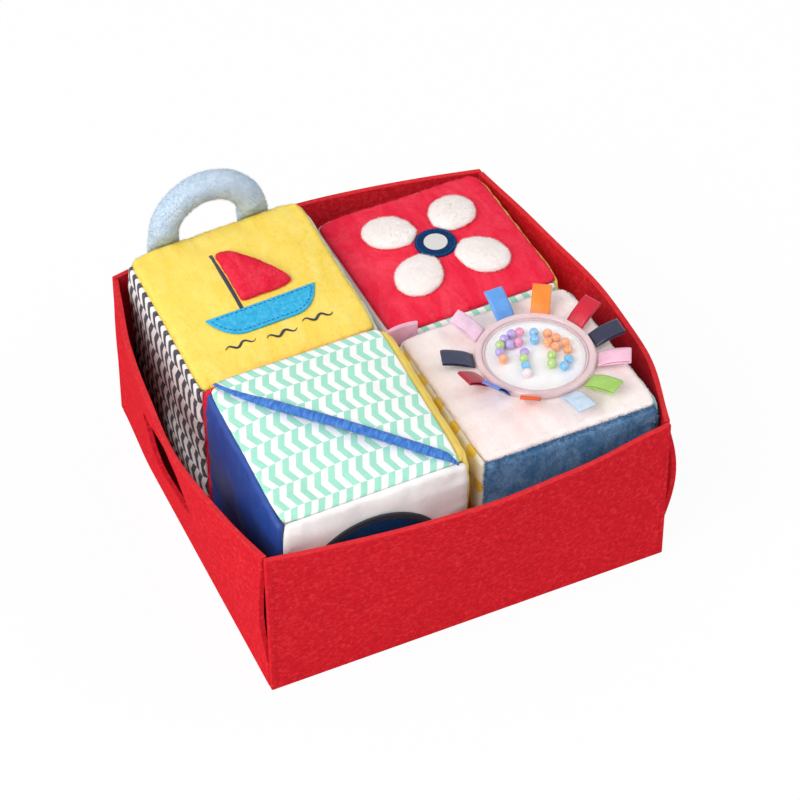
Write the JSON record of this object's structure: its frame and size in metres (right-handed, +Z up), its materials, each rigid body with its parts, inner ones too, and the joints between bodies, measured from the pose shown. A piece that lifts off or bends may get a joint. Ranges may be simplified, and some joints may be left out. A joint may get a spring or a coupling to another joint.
{
  "type": "soft activity block set",
  "caption": "Soft fabric activity blocks with a lifting sail, petals, a pocket, a ring handle and a bead rattle, in an open felt tray with hand slots.",
  "frame": {"origin": "centre of the set's outer box, on the underside of the tray", "axes": "+X to the right along the tray's front wall, +Y from the front wall to the back wall, +Z up"},
  "size_m": [0.252, 0.2488, 0.1487],
  "materials": {
    "tray_felt": "thick needled felt, matt with short loose fibres",
    "foam": "soft open-cell foam, hidden in the covers",
    "yellow_plush": "short-pile plush",
    "red_plush": "short-pile plush",
    "pale_pink_plush": "short-pile plush",
    "denim_blue_plush": "short-pile plush",
    "light_blue_plush": "long-pile plush over a firm filling",
    "navy_herringbone_cotton": "plain-woven cotton, printed with a navy and white herringbone",
    "mint_herringbone_cotton": "plain-woven cotton, printed with a mint and white herringbone",
    "dotted_cotton": "plain-woven white cotton, printed with yellow dots",
    "white_cotton": "plain-woven cotton",
    "yellow_cotton": "plain-woven cotton",
    "pale_green_cotton": "plain-woven cotton",
    "blush_cotton": "plain-woven cotton",
    "aqua_cotton": "plain-woven cotton",
    "cream_cotton": "plain-woven cotton",
    "royal_blue_satin": "smooth satin-woven cotton",
    "turquoise_felt": "thin felt with a stitched edge",
    "navy_felt": "thin felt with a stitched edge",
    "blue_binding": "rolled cotton binding",
    "rattle_case_plastic": "clear moulded plastic with a pink tint",
    "rattle_dome_plastic": "clear moulded plastic",
    "bead_plastic": "small coloured plastic beads",
    "pink_satin": "satin ribbon, folded into a loop",
    "lilac_satin": "satin ribbon, 10 mm wide",
    "sky_blue_satin": "satin ribbon, 10 mm wide",
    "orange_satin": "satin ribbon, 10 mm wide",
    "crimson_satin": "satin ribbon, 10 mm wide",
    "navy_satin": "satin ribbon, 10 mm wide",
    "green_satin": "satin ribbon, 10 mm wide",
    "ice_blue_satin": "satin ribbon, 10 mm wide",
    "orange_red_satin": "satin ribbon, 10 mm wide",
    "violet_blue_satin": "satin ribbon, 10 mm wide",
    "dark_red_satin": "satin ribbon, 10 mm wide",
    "ink_blue_satin": "satin ribbon, 10 mm wide"
  },
  "bodies": {
    "tray": {"tray_base": "tray_felt", "tray_front_wall": "tray_felt", "tray_back_wall": "tray_felt", "tray_right_wall": "tray_felt", "tray_left_wall": "tray_felt"},
    "boat_block": {"boat_block_foam_core": "foam", "boat_block_top_panel": "yellow_plush", "boat_block_bottom_panel": "cream_cotton", "boat_block_right_panel": "pale_green_cotton", "boat_block_left_panel": "navy_herringbone_cotton", "boat_block_back_panel": "pale_green_cotton", "boat_block_front_panel": "red_plush", "boat_hull_applique": "turquoise_felt"},
    "flower_block": {"flower_block_foam_core": "foam", "flower_block_top_panel": "red_plush", "flower_block_bottom_panel": "cream_cotton", "flower_block_right_panel": "yellow_cotton", "flower_block_left_panel": "blush_cotton", "flower_block_back_panel": "pale_green_cotton", "flower_block_front_panel": "mint_herringbone_cotton", "flower_centre_disc": "navy_felt"},
    "pocket_block": {"pocket_block_foam_core": "foam", "pocket_block_top_panel": "mint_herringbone_cotton", "pocket_block_bottom_panel": "cream_cotton", "pocket_block_right_panel": "yellow_cotton", "pocket_block_left_panel": "royal_blue_satin", "pocket_block_back_panel": "red_plush", "pocket_block_front_panel": "white_cotton", "pocket_flap": "mint_herringbone_cotton", "pocket_binding": "blue_binding", "navy_felt_disc": "navy_felt"},
    "rattle_block": {"rattle_block_foam_core": "foam", "rattle_block_top_panel": "pale_pink_plush", "rattle_block_bottom_panel": "cream_cotton", "rattle_block_right_panel": "aqua_cotton", "rattle_block_left_panel": "dotted_cotton", "rattle_block_back_panel": "white_cotton", "rattle_block_front_panel": "denim_blue_plush", "rattle_case": "rattle_case_plastic", "rattle_dome": "rattle_dome_plastic"},
    "sail_flap": {"sail_flap": "red_plush"},
    "plush_ring_handle": {"plush_ring_handle": "light_blue_plush"},
    "side_ribbon_tag": {"side_ribbon_tag": "pink_satin"},
    "flower_petal_1": {"flower_petal_1": "pale_pink_plush"},
    "flower_petal_2": {"flower_petal_2": "pale_pink_plush"},
    "flower_petal_3": {"flower_petal_3": "pale_pink_plush"},
    "flower_petal_4": {"flower_petal_4": "pale_pink_plush"},
    "rattle_beads": {"rattle_beads": "bead_plastic"},
    "ribbon_tab_01": {"ribbon_tab_01": "lilac_satin"},
    "ribbon_tab_02": {"ribbon_tab_02": "sky_blue_satin"},
    "ribbon_tab_03": {"ribbon_tab_03": "orange_satin"},
    "ribbon_tab_04": {"ribbon_tab_04": "crimson_satin"},
    "ribbon_tab_05": {"ribbon_tab_05": "navy_satin"},
    "ribbon_tab_06": {"ribbon_tab_06": "pink_satin"},
    "ribbon_tab_07": {"ribbon_tab_07": "green_satin"},
    "ribbon_tab_08": {"ribbon_tab_08": "ice_blue_satin"},
    "ribbon_tab_09": {"ribbon_tab_09": "orange_red_satin"},
    "ribbon_tab_10": {"ribbon_tab_10": "violet_blue_satin"},
    "ribbon_tab_11": {"ribbon_tab_11": "dark_red_satin"},
    "ribbon_tab_12": {"ribbon_tab_12": "ink_blue_satin"}
  },
  "joints": [
    {"name": "boat_block_lift", "type": "slide", "parent": "tray", "child": "boat_block", "axis": [0, 0, 1], "range_m": [0, 0.12]},
    {"name": "flower_block_lift", "type": "slide", "parent": "tray", "child": "flower_block", "axis": [0, 0, 1], "range_m": [0, 0.12]},
    {"name": "pocket_block_lift", "type": "slide", "parent": "tray", "child": "pocket_block", "axis": [0, 0, 1], "range_m": [0, 0.12]},
    {"name": "rattle_block_lift", "type": "slide", "parent": "tray", "child": "rattle_block", "axis": [0, 0, 1], "range_m": [0, 0.12]},
    {"name": "sail_flap_hinge", "type": "hinge", "parent": "boat_block", "child": "sail_flap", "pos_m": [-0.05861, 0.06131, 0.11488], "axis": [0.0087, -0.9966, -0.0822], "range_deg": [0, 100]},
    {"name": "ring_handle_bend", "type": "hinge", "parent": "boat_block", "child": "plush_ring_handle", "pos_m": [-0.05219, 0.10457, 0.11463], "axis": [0.9982, 0.0087, 0.0594], "range_deg": [-40, 40], "stiffness_Nm_per_rad": 0.02},
    {"name": "flower_petal_1_hinge", "type": "hinge", "parent": "flower_block", "child": "flower_petal_1", "pos_m": [0.0658, 0.06247, 0.10363], "axis": [0.7132, -0.7008, 0.0141], "range_deg": [0, 70]},
    {"name": "flower_petal_2_hinge", "type": "hinge", "parent": "flower_block", "child": "flower_petal_2", "pos_m": [0.0477, 0.06232, 0.10317], "axis": [0.7007, 0.7131, 0.0221], "range_deg": [0, 70]},
    {"name": "flower_petal_3_hinge", "type": "hinge", "parent": "flower_block", "child": "flower_petal_3", "pos_m": [0.04786, 0.04421, 0.10307], "axis": [-0.7132, 0.7008, -0.0141], "range_deg": [0, 70]},
    {"name": "flower_petal_4_hinge", "type": "hinge", "parent": "flower_block", "child": "flower_petal_4", "pos_m": [0.06596, 0.04437, 0.10353], "axis": [-0.7007, -0.7131, -0.0221], "range_deg": [0, 70]},
    {"name": "side_ribbon_tag_bend", "type": "hinge", "parent": "boat_block", "child": "side_ribbon_tag", "pos_m": [0.00153, 0.00013, 0.1059], "axis": [0.0087, -1, 0], "range_deg": [0, 60], "stiffness_Nm_per_rad": 0.0002},
    {"name": "rattle_beads_turn", "type": "hinge", "parent": "rattle_block", "child": "rattle_beads", "pos_m": [0.06299, -0.05064, 0.1063], "axis": [0, 0, 1], "continuous": true},
    {"name": "ribbon_tab_01_bend", "type": "hinge", "parent": "rattle_block", "child": "ribbon_tab_01", "pos_m": [0.04403, -0.0253, 0.1073], "axis": [0.8007, 0.599, 0], "range_deg": [-25, 65], "stiffness_Nm_per_rad": 0.0002},
    {"name": "ribbon_tab_02_bend", "type": "hinge", "parent": "rattle_block", "child": "ribbon_tab_02", "pos_m": [0.062, -0.01901, 0.1073], "axis": [0.9995, 0.0314, 0], "range_deg": [-30, 60], "stiffness_Nm_per_rad": 0.0002},
    {"name": "ribbon_tab_03_bend", "type": "hinge", "parent": "rattle_block", "child": "ribbon_tab_03", "pos_m": [0.07939, -0.02357, 0.1073], "axis": [0.8554, -0.518, 0], "range_deg": [-25, 65], "stiffness_Nm_per_rad": 0.0002},
    {"name": "ribbon_tab_04_bend", "type": "hinge", "parent": "rattle_block", "child": "ribbon_tab_04", "pos_m": [0.09195, -0.03787, 0.1073], "axis": [0.4035, -0.915, 0], "range_deg": [-25, 65], "stiffness_Nm_per_rad": 0.0002},
    {"name": "ribbon_tab_05_bend", "type": "hinge", "parent": "rattle_block", "child": "ribbon_tab_05", "pos_m": [0.09459, -0.05241, 0.1073], "axis": [-0.0558, -0.9984, 0], "range_deg": [-17, 73], "stiffness_Nm_per_rad": 0.0002},
    {"name": "ribbon_tab_06_bend", "type": "hinge", "parent": "rattle_block", "child": "ribbon_tab_06", "pos_m": [0.09062, -0.06608, 0.1073], "axis": [-0.4879, -0.8729, 0], "range_deg": [-14, 76], "stiffness_Nm_per_rad": 0.0002},
    {"name": "ribbon_tab_07_bend", "type": "hinge", "parent": "rattle_block", "child": "ribbon_tab_07", "pos_m": [0.0792, -0.07783, 0.1073], "axis": [-0.859, -0.512, 0], "range_deg": [-14, 76], "stiffness_Nm_per_rad": 0.0002},
    {"name": "ribbon_tab_08_bend", "type": "hinge", "parent": "rattle_block", "child": "ribbon_tab_08", "pos_m": [0.06564, -0.08218, 0.1073], "axis": [-0.9965, -0.0837, 0], "range_deg": [-14, 76], "stiffness_Nm_per_rad": 0.0002},
    {"name": "ribbon_tab_09_bend", "type": "hinge", "parent": "rattle_block", "child": "ribbon_tab_09", "pos_m": [0.0466, -0.07771, 0.1073], "axis": [-0.8554, 0.518, 0], "range_deg": [-45, 45], "stiffness_Nm_per_rad": 0.0002},
    {"name": "ribbon_tab_10_bend", "type": "hinge", "parent": "rattle_block", "child": "ribbon_tab_10", "pos_m": [0.03581, -0.06685, 0.1073], "axis": [-0.512, 0.859, 0], "range_deg": [-50, 40], "stiffness_Nm_per_rad": 0.0002},
    {"name": "ribbon_tab_11_bend", "type": "hinge", "parent": "rattle_block", "child": "ribbon_tab_11", "pos_m": [0.0319, -0.05657, 0.1073], "axis": [-0.1874, 0.9823, 0], "range_deg": [-35, 55], "stiffness_Nm_per_rad": 0.0002},
    {"name": "ribbon_tab_12_bend", "type": "hinge", "parent": "rattle_block", "child": "ribbon_tab_12", "pos_m": [0.03293, -0.04075, 0.1073], "axis": [0.3123, 0.95, 0], "range_deg": [-14, 76], "stiffness_Nm_per_rad": 0.0002}
  ]
}
